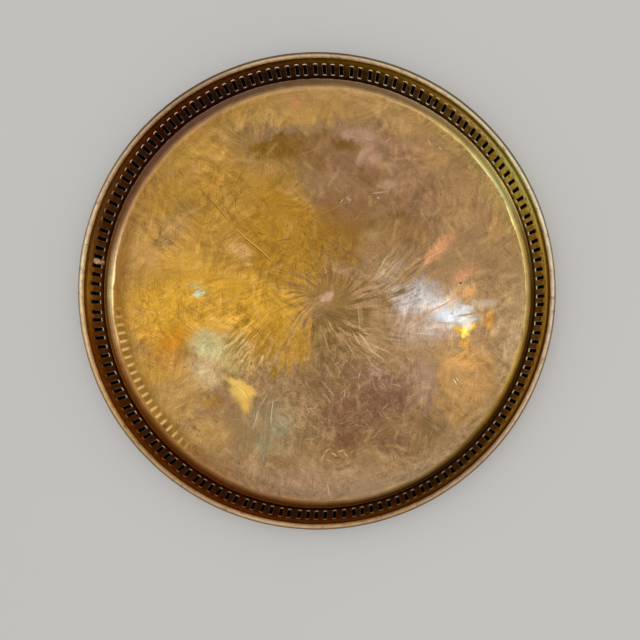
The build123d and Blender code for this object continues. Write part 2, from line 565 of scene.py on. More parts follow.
class Paint:
    """A material's node tree, with one method for each kind of step."""

    def __init__(self, name):
        self.material = bpy.data.materials.new(name)
        self.material.use_nodes = True
        self.tree = self.material.node_tree
        self.tree.nodes.clear()
        found = self.node("TexCoord", {})
        self.place = self.vector("MULTIPLY", found.outputs["Object"], 1 / MM)
        self.flat = self.place * LEVEL
        self.radius = self.length(self.flat)
        self.outwards = self.unit(self.flat)

    def node(self, kind, inputs, **settings):
        made = self.tree.nodes.new("ShaderNode" + kind)
        for name, value in settings.items():
            setattr(made, name, value)
        for key, value in inputs.items():
            if isinstance(value, Result):
                value = value.socket
            if isinstance(value, bpy.types.NodeSocket):
                self.tree.links.new(value, made.inputs[key])
            else:
                made.inputs[key].default_value = value
        return made

    def number(self, kind, inputs, output=0, **settings):
        """The number that a new node gives."""
        return Result(self.node(kind, inputs, **settings).outputs[output], self.math)

    def spot(self, kind, inputs, **settings):
        """The place or direction that a new node gives."""
        return Result(self.node(kind, inputs, **settings).outputs[0], self.vector)

    def math(self, operation, a, b=0.0, clamp=False):
        return self.number("Math", {0: a, 1: b}, operation=operation, use_clamp=clamp)

    def vector(self, operation, a, b):
        """Vector arithmetic, where times a number scales the vector."""
        if operation == "MULTIPLY" and not isinstance(b, tuple):
            return self.spot("VectorMath", {0: a, 3: b}, operation="SCALE")
        return self.spot("VectorMath", {0: a, 1: b}, operation=operation)

    def unit(self, a):
        return self.spot("VectorMath", {0: a}, operation="NORMALIZE")

    def length(self, a):
        return self.number("VectorMath", {0: a}, "Value", operation="LENGTH")

    def dot(self, a, b):
        return self.number("VectorMath", {0: a, 1: b}, "Value", operation="DOT_PRODUCT")

    def facing(self, angle):
        """The cosine of how far a place's direction on the plate is from this one."""
        return self.dot(self.outwards, (*towards(radians(angle)), 0))

    def joined(self, x, y, z):
        return self.spot("CombineXYZ", {0: x, 1: y, 2: z})

    def split(self, a):
        made = self.node("SeparateXYZ", {0: a})
        return [Result(output, self.math) for output in made.outputs]

    def span(self, value, low, high, to_low=0.0, to_high=1.0):
        """A smooth step: value from low to high becomes to_low to to_high."""
        inputs = {0: value, 1: low, 2: high, 3: to_low, 4: to_high}
        return self.number("MapRange", inputs, interpolation_type="SMOOTHSTEP")

    def eased(self, share, nowhere, fully):
        """The value nowhere where the share is 0, and fully where it is 1."""
        return self.span(share, 0.0, 1.0, nowhere, fully)

    def mix(self, factor, a, b, blend="MIX"):
        """Two colours mixed. A tuple is a display colour."""
        a, b = (linear(colour) if isinstance(colour, tuple) else colour for colour in (a, b))
        inputs = {0: factor, 6: a, 7: b}
        return self.node("Mix", inputs, data_type="RGBA", blend_type=blend, clamp_factor=True).outputs[2]

    def shaded(self, colour, tone):
        """The colour made darker or lighter."""
        return self.mix(1.0, colour, self.joined(tone, tone, tone), "MULTIPLY")

    def noise_node(self, place, size, detail, rough):
        inputs = {"Vector": place, "Scale": 1 / size, "Detail": detail, "Roughness": rough}
        return self.node("TexNoise", inputs)

    def noise(self, place, size, detail=4.0, rough=0.55):
        """Cloudy noise, 0 to 1, with features of about this size."""
        return Result(self.noise_node(place, size, detail, rough).outputs[0], self.math)

    def drift(self, place, size, reach, detail=3.0):
        """The place, moved up to about this far by noise."""
        colour = self.noise_node(place, size, detail, 0.55).outputs[1]
        return self.vector("ADD", place, self.vector("SUBTRACT", colour, (0.5, 0.5, 0.5)) * (reach * 2))

    def ringed(self, fineness, radial=1.0):
        """Where noise is drawn out round the plate: the fineness along the ring, and the one across it."""
        return self.outwards * fineness + self.joined(0.0, 0.0, self.radius * radial)

    def after(self, colour, place):
        """The same place, worked out once the colour is known. Cycles can't hold every patch at once."""
        nearly_nothing = (1e-6, 1e-6, 1e-6)
        return self.spot("VectorMath", {0: colour, 1: nearly_nothing, 2: place}, operation="MULTIPLY_ADD")

    def turned(self, place, angle):
        """The place turned about +Z by this many radians."""
        return self.spot("VectorRotate", {"Vector": place, "Angle": angle}, rotation_type="Z_AXIS")

    def stretched(self, place, x, y, long, wide, turn):
        """The place in a frame of its own, turned and with these units."""
        inputs = {0: place, 1: (x, y, 0), 2: (0, 0, radians(turn)), 3: (long, wide, 1)}
        return self.spot("Mapping", inputs, vector_type="TEXTURE")

    def direction(self, place):
        """The place's direction about +Z: 0 to 1 is one turn from +X."""
        x, y, _ = self.split(place)
        return self.math("FRACT", self.math("ARCTAN2", y, x) / (2 * pi))

    def ramp(self, turn, stops):
        """A colour for each direction, from stops of degrees and colour. The first stop closes the turn."""
        made = self.node("ValToRGB", {0: turn})
        band = made.color_ramp
        for degree, colour in stops[1:]:
            band.elements.new(degree / 360).color = linear(colour)
        for end in (0, -1):
            band.elements[end].color = linear(stops[0][1])
        return made.outputs[0]

    def cells(self, place, size, flat=True):
        """Scattered points: distance to the nearest, its three random numbers and its place."""
        dimensions = "2D" if flat else "3D"
        made = self.node("TexVoronoi", {"Vector": place, "Scale": 1 / size}, voronoi_dimensions=dimensions)
        distance, colour, spot = (made.outputs[name] for name in ("Distance", "Color", "Position"))
        return Result(distance, self.math), self.split(colour), spot

    def patch(self, place, x, y, wide, high, turn=0.0, soft=0.8):
        """1 inside an ellipse on the plate, falling smoothly to 0 at its edge."""
        return self.span(self.length(self.stretched(place, x, y, wide, high, turn)), 1.0, 1.0 - soft)

    def streaks(self, place, turn, long, wide, detail):
        """Noise drawn out in one direction, about -0.5 to 0.5."""
        return self.noise(self.stretched(place, 0, 0, long, wide, turn), 1.0, detail=detail, rough=0.5) - 0.5

    def scratches(self, place, size, width, keep, long=0.42, core=0.25):
        """Straight scratches, one in each kept cell. core is the share of the width at full strength."""
        _, (chance, turn, reach), spot = self.cells(place, size)
        away = place - spot
        angle = turn * pi
        along = self.joined(self.math("COSINE", angle), self.math("SINE", angle), 0.0)
        far = abs(self.dot(away, along))
        off = abs(self.dot(away, self.vector("CROSS_PRODUCT", along, (0, 0, 1))))
        inside = self.span(far / self.eased(reach, size * long * 0.35, size * long), 1.0, 0.7)
        line = self.span(off, width, width * core)
        return line * inside * self.math("LESS_THAN", chance, keep)

    def pits(self, place, size, width, keep, flat=True):
        """Small round marks, one in each kept cell of this size."""
        distance, (chance, scale, _), _ = self.cells(place, size, flat)
        inside = distance / self.eased(scale, width * 0.4 / size, width / size)
        shown = self.math("LESS_THAN", chance, keep)
        return self.span(inside, 1.0, 0.4) * shown

    def bump(self, height, depth, normal=None):
        """Relief of this depth in millimetres, over any relief that is there already."""
        inputs = {"Height": height, "Distance": depth * MM, "Strength": 1.0}
        if normal is not None:
            inputs["Normal"] = normal
        return self.node("Bump", inputs).outputs[0]

    def metal(self, colour, roughness, normal, anisotropic=0.0, metallic=1.0):
        inputs = {"Base Color": colour, "Roughness": roughness, "Normal": normal, "Metallic": metallic}
        if anisotropic:
            inputs["Anisotropic"] = anisotropic
            inputs["Anisotropic Rotation"] = 0.25
            inputs["Tangent"] = self.node("Tangent", {}, direction_type="RADIAL", axis="Z").outputs[0]
        return self.finished(inputs)

    def finished(self, inputs):
        """The material, with its surface's shader joined up."""
        shader = self.node("BsdfPrincipled", inputs)
        self.node("OutputMaterial", {"Surface": shader.outputs[0]})
        return self.material


SMALL_PATCH = 27  # half size in millimetres below which a patch keeps near its place

# Tarnish and painted highlights on the floor: middle x and y, half sizes, strength, colour, and its turn and
# softness if unusual.
TARNISH_AND_HIGHLIGHT = (
    (-85, 34, 98, 118, 1.0, (182, 136, 58), -6, 0.45),
    (-148, -16, 36, 44, 0.9, (214, 160, 60)),
    (-146, 48, 32, 32, 0.8, (202, 154, 82)),
    (-94, 116, 26, 15, 0.6, (198, 150, 66), 40),
    (-106, 128, 48, 18, 0.8, (214, 164, 74), 40),
    (-140, -62, 34, 26, 0.8, (196, 146, 60)),
    (-122, 36, 40, 24, 0.7, (208, 158, 70)),
    (-32, 52, 46, 56, 0.8, (168, 122, 38), 0, 0.5),
    (18, 44, 28, 20, 0.8, (148, 106, 38), 0, 0.6),
    (-92, -4, 80, 34, 0.9, (210, 158, 54), 0, 0.6),
    (-88, -26, 34, 13, 0.9, (226, 172, 76), 8, 0.9),
    (-126, -36, 28, 19, 0.9, (202, 134, 30), 10, 1.0),
    (-45, -14, 48, 26, 0.7, (194, 146, 50), 0, 0.5),
    (-28, -40, 30, 24, 0.8, (184, 136, 38), 0, 0.7),
    (-130, 44, 17, 12, 0.8, (158, 122, 74), 0, 0.9),
    (-120, 56, 20, 16, 0.6, (204, 160, 98), 0, 0.9),
    (-113, 72, 17, 10, 0.7, (148, 114, 56), 10),
    (-66, 37, 18, 12, 0.75, (204, 160, 100), -25, 0.9),
    (-108, 26, 24, 12, 0.8, (212, 164, 72)),
    (-62, 14, 22, 7, 0.7, (208, 158, 66), -10),
    (-105, 100, 24, 9, 0.8, (196, 150, 74), 35),
    (-84, 118, 16, 6, 0.7, (206, 160, 84), 40),
    (-74, 90, 20, 12, 0.5, (164, 122, 44), 20),
    (-92, -43, 25, 16, 0.95, (216, 206, 152), -35),
    (-78, -50, 30, 16, 0.7, (188, 164, 106), -35, 0.6),
    (-98, -66, 24, 19, 0.9, (216, 188, 140), 0, 0.9),
    (-66, -80, 15, 12, 0.6, (226, 184, 96), -38, 0.9),
    (-60, -98, 6, 12, 0.5, (214, 168, 84), 8),
    (-90, -90, 14, 12, 0.6, (176, 126, 50), 0, 0.9),
    (-120, -88, 34, 30, 0.8, (188, 146, 80), 45, 0.6),
    (-121, -62, 18, 14, 0.6, (210, 156, 78), 0, 0.9),
    (-90, -118, 20, 14, 0.7, (204, 162, 98), 0, 0.9),
    (-96, -122, 30, 22, 0.7, (184, 144, 84), 0, 0.7),
    (-40, -106, 32, 36, 0.8, (154, 132, 96)),
    (-34, -113, 17, 12, 0.7, (158, 146, 112), 30, 0.9),
    (-47, -127, 14, 14, 0.7, (160, 149, 112), 0, 0.9),
    (-31, -130, 14, 9, 0.6, (158, 146, 114), 0, 0.9),
    (-38, -92, 8, 12, 0.5, (136, 112, 80), 0, 0.9),
    (-34, -74, 20, 15, 0.8, (150, 120, 84)),
    (-64, -124, 14, 20, 0.6, (148, 120, 80)),
    (-58, -150, 22, 12, 0.8, (148, 116, 84)),
    (-5, -155, 80, 20, 0.8, (164, 132, 100), 0, 0.6),
    (-49, 119, 17, 11, 0.9, (132, 96, 20)),
    (-29, 124, 26, 13, 0.95, (118, 82, 14), 10),
    (-12, 158, 70, 20, 0.9, (192, 148, 80)),
    (-66, 146, 34, 20, 0.8, (198, 154, 80), 25),
    (66, 148, 36, 18, 0.8, (196, 154, 94), -24),
    (-21, 161, 11, 8, 0.8, (206, 140, 96)),
    (0, 117, 52, 24, 0.85, (136, 98, 50), 0, 0.5),
    (46, 110, 62, 46, 0.8, (152, 114, 82), 0, 0.5),
    (33, 132, 26, 11, 0.75, (178, 140, 116), -10),
    (42, 115, 20, 9, 0.5, (178, 140, 116), 40),
    (60, 93, 17, 8, 0.3, (166, 128, 104), 15),
    (66, 122, 22, 12, 0.7, (176, 134, 98), -20, 0.9),
    (94, 116, 24, 16, 0.7, (188, 144, 90), -40, 0.9),
    (147, 62, 14, 32, 0.7, (188, 144, 86), 10, 0.9),
    (19, 124, 15, 8, 0.9, (116, 82, 36)),
    (40, 96, 22, 9, 0.8, (132, 96, 60)),
    (22, 76, 36, 18, 0.8, (138, 100, 64), 0, 0.6),
    (70, 68, 34, 22, 0.8, (138, 100, 68)),
    (92, 76, 36, 30, 0.7, (146, 110, 78)),
    (124, 84, 36, 44, 0.6, (168, 128, 84), 0, 0.7),
    (64, 52, 40, 20, 0.7, (144, 106, 62), 0, 0.6),
    (43, 50, 12, 9, 0.7, (172, 140, 92)),
    (102, 41, 26, 9, 0.9, (204, 146, 102), 47, 0.9),
    (92, 31, 10, 7, 0.8, (212, 150, 104), 40, 0.9),
    (120, 17, 20, 9, 0.7, (196, 140, 100), 35),
    (22, -20, 25, 32, 0.8, (130, 101, 54)),
    (4, -32, 18, 28, 0.8, (132, 102, 54)),
    (8, 6, 32, 18, 0.6, (142, 104, 44)),
    (7, -3, 8, 7, 0.9, (200, 162, 138), 0, 0.9),
    (0, 32, 18, 26, 0.7, (158, 112, 34)),
    (4, 60, 26, 18, 0.6, (152, 106, 34)),
    (32, 58, 24, 16, 0.6, (136, 96, 42)),
    (42, -38, 19, 11, 0.8, (192, 152, 108), -30),
    (6, -68, 38, 28, 0.8, (130, 100, 66), 0, 0.6),
    (53, -80, 38, 27, 0.85, (128, 92, 74), 0, 0.7),
    (30, -100, 44, 26, 0.8, (124, 88, 64), 0, 0.7),
    (49, -64, 12, 7, 0.8, (182, 142, 122)),
    (-6, -92, 13, 14, 0.7, (164, 132, 98)),
    (24, -124, 34, 16, 0.9, (120, 82, 54)),
    (62, -120, 34, 20, 0.8, (124, 92, 62)),
    (92, -112, 20, 20, 0.8, (124, 98, 64)),
    (86, -70, 16, 30, 0.7, (166, 132, 110), 0, 0.9),
    (125, -68, 26, 24, 0.8, (176, 132, 80), 0, 0.2),
    (122, -92, 24, 22, 0.7, (178, 136, 82), 0, 0.2),
    (116, -57, 22, 9, 0.8, (204, 152, 84)),
    # Painted highlight: whitish haze round the small softbox's reflection on the right.
    (92, -14, 44, 30, 0.7, (180, 160, 144), -14, 1.0),
    (92, -34, 36, 17, 0.55, (188, 170, 160), 0, 1.0),
    (87, -3, 29, 19, 0.5, (170, 176, 184), -16, 1.0),
    (110, -16, 34, 15, 0.6, (214, 214, 214), -6, 1.0),
    # Painted reflection of a warm lamp: a yellow spot with orange round it.
    (140, -22, 7, 11, 0.9, (208, 146, 60), 0, 0.9),
    (122, -30, 8, 6, 0.85, (240, 202, 84)),
    (121, -42, 9, 9, 0.8, (206, 150, 64), 0, 0.9),
    (122, 2, 18, 11, 0.6, (212, 164, 112), 10, 1.0),
    # More of the painted highlight's haze.
    (58, 16, 24, 12, 0.5, (172, 150, 124), 40),
    (160, -24, 10, 50, 0.2, (180, 154, 120)),
    (-32, 119, 26, 14, 0.5, (134, 96, 26), 5, 0.9),
    (-121, -30, 17, 12, 0.5, (206, 138, 22), 0, 0.9),
    (-31, -31, 22, 17, 0.5, (186, 138, 28), 0, 0.9),
    # A small painted highlight on the left.
    (-101, 7, 9, 8, 0.4, (216, 206, 140), 0, 1.0),
    (-102, -1, 7, 3.5, 0.95, (206, 238, 206), 20),
)

BROAD_MARK = 1.5  # half width in millimetres above which a mark has a torn edge

# Scratches and smears that stand out, and streaks of the painted highlight: middle x and y, half length and
# width, strength, colour, and any turn.
MARKS_AND_HIGHLIGHT = (
    (-55, 41.8, 32, 0.5, 0.8, (228, 184, 102), -41),
    (-55.6, 41.0, 32, 0.4, 0.8, (100, 70, 20), -41),
    (-88, 74.5, 34, 0.5, 0.8, (106, 76, 24), -48),
    (-68, -77, 13, 0.7, 0.7, (242, 208, 124), -58),
    (-64, -79, 11, 0.6, 0.6, (238, 200, 112), -48),
    (-60, -92, 12, 1.4, 0.6, (230, 182, 84), -82),
    (-73, -72, 9, 0.5, 0.6, (238, 208, 132), -75),
    (-60, 60, 20, 0.5, 0.4, (130, 94, 24), -30),
    (-66, 98.7, 10, 0.45, 0.7, (112, 82, 24), 60),
    (-70, 75.7, 15, 0.45, 0.7, (112, 82, 24), 92),
    (-124, 43.4, 4, 0.6, 0.8, (92, 66, 34), -40),
    (-115.6, 101, 4.5, 0.6, 0.8, (98, 70, 26), -50),
    (-29, 45.5, 8, 0.8, 0.7, (118, 84, 16), 8),
    (-47, 50, 8, 0.8, 0.6, (122, 88, 20), -20),
    (53, 26, 14, 0.5, 0.7, (226, 208, 166), 62),
    (61, 22, 12, 0.45, 0.5, (216, 196, 158), 50),
    (-68, -75, 14, 5, 0.75, (238, 196, 100), -21),
    (-61.5, -83, 8, 9, 0.8, (236, 192, 92)),
    (-57.5, -81, 6, 6, 0.7, (232, 186, 92)),
    (-60, -90, 6, 8, 0.6, (222, 174, 84)),
    (-68, -82, 9, 7, 0.65, (228, 186, 92), -25),
    (-65, -90, 6, 9, 0.55, (222, 178, 88), 12),
    (-77, -70, 9, 2.4, 0.5, (226, 186, 108), -30),
    (-62, -93, 4, 10, 0.7, (226, 178, 84), 6),
    (-66, -80, 14, 0.5, 0.6, (252, 222, 140), -47),
    (-62, -84, 12, 0.5, 0.5, (250, 216, 130), -58),
    (-68, -77, 12, 0.5, 0.5, (200, 152, 60), -38),
    (-60, -85, 11, 0.5, 0.5, (196, 148, 56), -68),
    # From here to the copper scratches: the painted highlight on the right, whitish patches and streaks, and
    # a painted yellow reflection of a lamp with orange round it.
    (110, -18, 28, 13, 0.4, (186, 188, 190)),
    (104.8, -18.6, 11, 6, 0.6, (204, 210, 220)),
    (122, -12.6, 9, 4, 0.6, (204, 206, 200), 18),
    (121, -22, 12, 3.6, 0.6, (204, 206, 200), 3),
    (110.6, -27, 6, 3.6, 0.5, (210, 204, 178)),
    (124, -26.5, 5, 3, 0.5, (210, 210, 198)),
    (137, -7.7, 17, 6, 0.4, (194, 184, 162)),
    (124, -17.0, 14, 1.3, 0.8, (140, 118, 66), 10),
    (104, -24.2, 12, 1.0, 0.6, (146, 132, 116), -2),
    (121.5, -30.6, 2.8, 2.6, 0.8, (250, 240, 120)),
    (116, -31, 3, 2, 0.6, (176, 128, 20)),
    (92, -40, 20, 1.2, 0.3, (150, 128, 108), 6),
    (88, -33, 18, 1.0, 0.3, (206, 192, 190), -4),
    (96, -28, 16, 0.9, 0.3, (208, 196, 196), 3),
    (80, -24, 16, 0.9, 0.3, (148, 132, 122), -8),
    (110.6, -10.3, 2.8, 3.4, 0.6, (190, 150, 64)),
    (129, -27, 4, 2.8, 0.8, (230, 180, 30), -60),
    (114.8, -28.8, 4.5, 2.4, 0.8, (206, 160, 30)),
    (101.5, -10.0, 44, 1.15, 0.8, (194, 132, 86), 28.2),
    (125, 1.5, 7.5, 2.6, 0.7, (206, 150, 84), 28),
    (123, -5.6, 6.5, 0.9, 0.6, (204, 152, 92), 31),
    (155, -48, 11, 2.4, 0.4, (206, 184, 146), 95),
    (14, -134, 22, 10, 0.4, (146, 108, 66)),
    (6, -131, 4, 0.8, 0.7, (222, 182, 122), 35),
    (12, -134, 4, 0.9, 0.7, (226, 188, 130), -30),
    (18, -131, 4, 0.8, 0.7, (220, 178, 118), 20),
    (10, -128, 4, 0.9, 0.6, (96, 64, 34), -50),
    (15, -137, 5, 0.9, 0.7, (98, 66, 36), 10),
    (22, -134, 4, 0.8, 0.6, (216, 176, 118), -45),
    (3, -136, 4, 0.8, 0.6, (214, 176, 124), 60),
    (20, -138, 3, 0.7, 0.6, (92, 62, 36), 30),
    (8, -139, 4, 0.7, 0.6, (208, 170, 120), -20),
    (27, -132, 3, 0.7, 0.5, (206, 168, 118), 50),
    (23, 131, 6.5, 4.4, 0.6, (192, 146, 126), 20),
    (36.6, 116.4, 15, 3.6, 0.55, (186, 148, 120), 52),
    (47, 114.3, 10, 3.6, 0.5, (186, 148, 118), 10),
    (59.5, 108, 6, 4.2, 0.5, (184, 146, 112)),
    (57.4, 128.4, 4.5, 1.0, 0.6, (200, 154, 128), 40),
    (41.8, 129.4, 5.5, 1.3, 0.6, (204, 158, 132), -15),
    (43.9, 99.7, 14, 8, 0.55, (136, 100, 60), 20),
    (25.1, 121.6, 12, 3.6, 0.6, (138, 100, 50), 3),
    (57.4, 90.9, 11, 5, 0.45, (186, 146, 120), 12),
    (50, 84.6, 9.5, 0.9, 0.6, (206, 166, 136), 8),
    (10.5, 99.2, 7, 4.4, 0.4, (174, 132, 106)),
    (18.6, 77.6, 3.2, 0.6, 0.8, (210, 174, 96), 50),
    (17, 77.8, 1.0, 0.9, 0.9, (80, 54, 20)),
    (24, 78.9, 2.8, 2.4, 0.6, (194, 154, 130)),
    (49, 80.4, 1.1, 1.1, 0.8, (224, 186, 156)),
    (91.8, 126.8, 4.4, 0.6, 0.7, (224, 194, 144), -62),
    (100.7, 121.6, 2.6, 0.6, 0.7, (224, 194, 150), -50),
    (103, 97, 3, 0.6, 0.6, (208, 172, 114), 40),
    (7.4, -163, 8, 0.6, 0.7, (214, 186, 146), -82),
    (113, -73, 4, 0.6, 0.9, (236, 222, 192), -60),
    (115, -71, 3, 0.5, 0.8, (236, 222, 192), -55),
    (-39.7, -98, 16, 0.5, 0.7, (216, 204, 164), 86),
    (-53, -104.6, 13, 0.5, 0.7, (214, 202, 160), 75),
    (-46, -88, 12, 0.45, 0.5, (210, 196, 152), 58),
    (90, 60, 30, 0.5, 0.4, (200, 164, 120), -58),
    (-6, 120, 12, 0.5, 0.5, (190, 152, 104), 20),
    (33, -20, 15, 1.0, 0.45, (204, 172, 120), 95),
    (38, -39, 12, 1.1, 0.6, (220, 190, 136), -55),
    (47, -50, 13, 1.0, 0.6, (220, 188, 144), -33),
    (31, -37, 9, 0.8, 0.6, (224, 194, 142), -62),
    (44, -58, 10, 0.7, 0.5, (214, 180, 146), -48),
    (52, -46, 14, 0.7, 0.5, (218, 186, 142), -22),
    (60, -33, 13, 0.5, 0.4, (208, 152, 110), 25),
    (27, -48, 10, 0.6, 0.5, (216, 184, 136), -60),
    (36, -30, 10, 0.6, 0.5, (218, 188, 140), -40),
    (5, -38, 15, 0.7, 0.5, (206, 178, 112), -72),
    (-4, -30, 12, 0.6, 0.4, (96, 72, 34), -100),
    (14, -28, 13, 0.7, 0.5, (92, 70, 34), -66),
    (118, 9, 1.7, 1.3, 0.9, (96, 44, 28)),
    (110.5, -16.4, 1.0, 1.0, 0.9, (74, 44, 26)),
    (107, 46.5, 0.9, 0.8, 0.9, (88, 40, 26)),
    (94, 41.3, 0.9, 0.8, 0.9, (92, 48, 30)),
    (74.5, -33, 1.0, 0.9, 0.8, (90, 50, 40)),
    (84, -5, 0.9, 0.8, 0.8, (70, 56, 44)),
    (-62.4, 33, 0.9, 0.8, 0.9, (112, 50, 30)),
    (-126, 42.4, 2.6, 0.6, 0.8, (96, 62, 28), -40),
    (-136.5, -51.5, 1.0, 1.6, 0.7, (134, 92, 24)),
    (-113, -60, 2.0, 1.6, 0.8, (214, 160, 96)),
    (-112.4, -61.2, 2.2, 0.5, 0.8, (110, 62, 20), -20),
)



# Colours round the plate, each at a direction in degrees. Round the cove, the solder, the gallery, its bars
# and the bead they change as painted highlights and reflections; the groove under the bead is painted shade.
FLOOR_EDGE_TONES = (
    (0, (160, 130, 92)), (15, (158, 126, 76)), (30, (162, 133, 80)), (45, (166, 133, 80)),
    (60, (174, 136, 81)), (75, (183, 143, 87)), (90, (188, 147, 90)), (105, (181, 138, 70)),
    (120, (174, 129, 62)), (135, (178, 135, 64)), (150, (176, 129, 63)), (165, (163, 117, 59)),
    (180, (155, 106, 36)), (195, (150, 103, 32)), (210, (152, 108, 36)), (222, (140, 98, 24)),
    (240, (146, 110, 68)), (255, (138, 106, 76)), (270, (146, 119, 91)), (285, (154, 128, 98)),
    (315, (150, 122, 88)), (330, (160, 126, 80)), (345, (172, 142, 104)),
)
# The cove's painted highlights and reflections, brightest to the right and left.
COVE_HIGHLIGHT_TONES = (
    (0, (236, 200, 120)), (15, (255, 220, 130)), (30, (255, 250, 170)), (48, (236, 210, 124)),
    (60, (215, 178, 118)), (75, (196, 160, 110)), (100, (176, 138, 96)), (140, (160, 120, 84)),
    (158, (176, 132, 92)), (168, (226, 186, 140)), (180, (250, 232, 166)), (190, (226, 180, 124)),
    (200, (190, 136, 84)), (218, (156, 106, 50)), (245, (158, 108, 66)), (262, (170, 120, 70)),
    (285, (190, 152, 104)), (305, (176, 142, 80)), (318, (160, 118, 50)), (335, (200, 160, 72)),
    (348, (222, 186, 99)),
)
# Solder at the flange's lip and under the bead, with painted highlights that change with direction.
SOLDER_AND_HIGHLIGHT_TONES = (
    (0, (80, 50, 8)), (15, (130, 100, 44)), (30, (226, 204, 130)), (45, (186, 156, 100)),
    (60, (172, 148, 106)), (75, (146, 118, 84)), (95, (128, 98, 72)), (135, (126, 86, 70)),
    (165, (118, 78, 34)), (200, (118, 68, 14)), (225, (100, 46, 6)), (270, (94, 50, 8)),
    (300, (62, 36, 12)), (330, (66, 40, 6)),
)
# Painted shade in the groove under the bead, lighter where painted highlights fall.
GROOVE_SHADE_TONES = (
    (0, (105, 64, 6)), (15, (125, 86, 8)), (30, (150, 130, 40)), (45, (120, 90, 16)), (75, (112, 76, 8)),
    (90, (92, 60, 6)), (105, (74, 36, 6)), (135, (76, 32, 5)), (150, (94, 54, 10)), (165, (104, 66, 18)),
    (180, (126, 72, 8)), (195, (112, 60, 5)), (225, (108, 50, 4)), (270, (98, 46, 4)), (300, (84, 44, 8)),
    (335, (96, 52, 4)),
)
# Painted highlight along the bend above the slots, by direction.
BEND_HIGHLIGHT_TONES = (
    (0, (215, 168, 66)), (15, (250, 210, 88)), (30, (255, 250, 150)), (45, (235, 202, 112)),
    (60, (162, 124, 46)), (75, (116, 82, 20)), (95, (96, 62, 24)), (135, (84, 36, 16)),
    (150, (112, 66, 28)), (165, (126, 82, 38)), (180, (190, 138, 50)), (192, (116, 64, 12)),
    (225, (104, 50, 8)), (270, (104, 52, 8)), (300, (122, 74, 12)), (330, (176, 128, 36)),
    (345, (200, 142, 48)),
)
# The wall between the slots: its brass, with painted highlights by direction.
WALL_AND_HIGHLIGHT_TONES = (
    (0, (148, 108, 36)), (15, (206, 168, 60)), (30, (255, 234, 92)), (45, (158, 122, 38)),
    (60, (108, 80, 34)), (75, (86, 62, 28)), (95, (68, 44, 26)), (135, (68, 34, 20)), (150, (96, 54, 20)),
    (165, (100, 62, 28)), (180, (138, 92, 22)), (195, (100, 60, 18)), (225, (94, 48, 16)),
    (270, (86, 46, 14)), (300, (86, 52, 18)), (330, (122, 86, 28)),
)
# Painted highlight and shade on the pressed bar above each slot, by direction.
BAR_HIGHLIGHT_TONES = (
    (0, (150, 112, 50)), (40, (214, 186, 120)), (70, (250, 224, 196)), (140, (236, 204, 184)),
    (165, (120, 80, 44)), (195, (110, 72, 36)), (215, (150, 112, 70)), (290, (158, 120, 86)),
    (330, (176, 140, 90)),
)
# The bead's cream brass with painted highlights and reflections by direction.
BEAD_AND_HIGHLIGHT_TONES = (
    (0, (236, 212, 176)), (30, (255, 244, 196)), (60, (246, 222, 178)), (85, (226, 194, 152)),
    (105, (230, 196, 152)), (122, (186, 152, 112)), (138, (204, 170, 130)), (155, (224, 190, 150)),
    (175, (250, 226, 180)), (195, (236, 196, 140)), (215, (204, 164, 100)), (232, (190, 156, 110)),
    (255, (222, 182, 140)), (285, (190, 152, 104)), (315, (196, 164, 130)), (335, (226, 194, 150)),
)

FLOOR_COLOUR = (152, 119, 80)
AFTER_PATCHES = 12  # Cycles works the patches out in groups of this many
FAN_MIDDLE = (4, -4, 0)  # where the wiping strokes start

# Where the strokes are strong, as middle x and y, half sizes, turn and strength. They are faint above.
COMBED = (
    (6, -12, 52, 52, 0, 0.6),
    (-50, -46, 48, 34, -35, 1.0),
    (62, 12, 52, 32, 25, 0.8),
    (38, -50, 44, 34, 0, 0.8),
    (-60, 10, 70, 50, 0, 0.3),
)

RUBBED = ((25, 0, 46, 6.0), (75, 300, 40, 5.0), (140, 600, 50, 6.5))  # direction, seed, length and width
HAIR_LENGTH, HAIR_WIDTH = 9.0, 0.75

# Radii that a change of colour on the pan starts and ends at
FLOOR_EDGE = beyond(FLOOR_RADIUS, -12.2, -4.2)
COVE_EDGE = beyond(FLOOR_RADIUS, 1.1, 2.3)
TEETH_START = beyond(FLOOR_RADIUS, -7.0, -3.0)
TEETH_END = beyond(FLOOR_RADIUS, 1.4, 0.4)
LIP_EDGE = beyond(FLOOR_RADIUS, 4.4, 5.4)


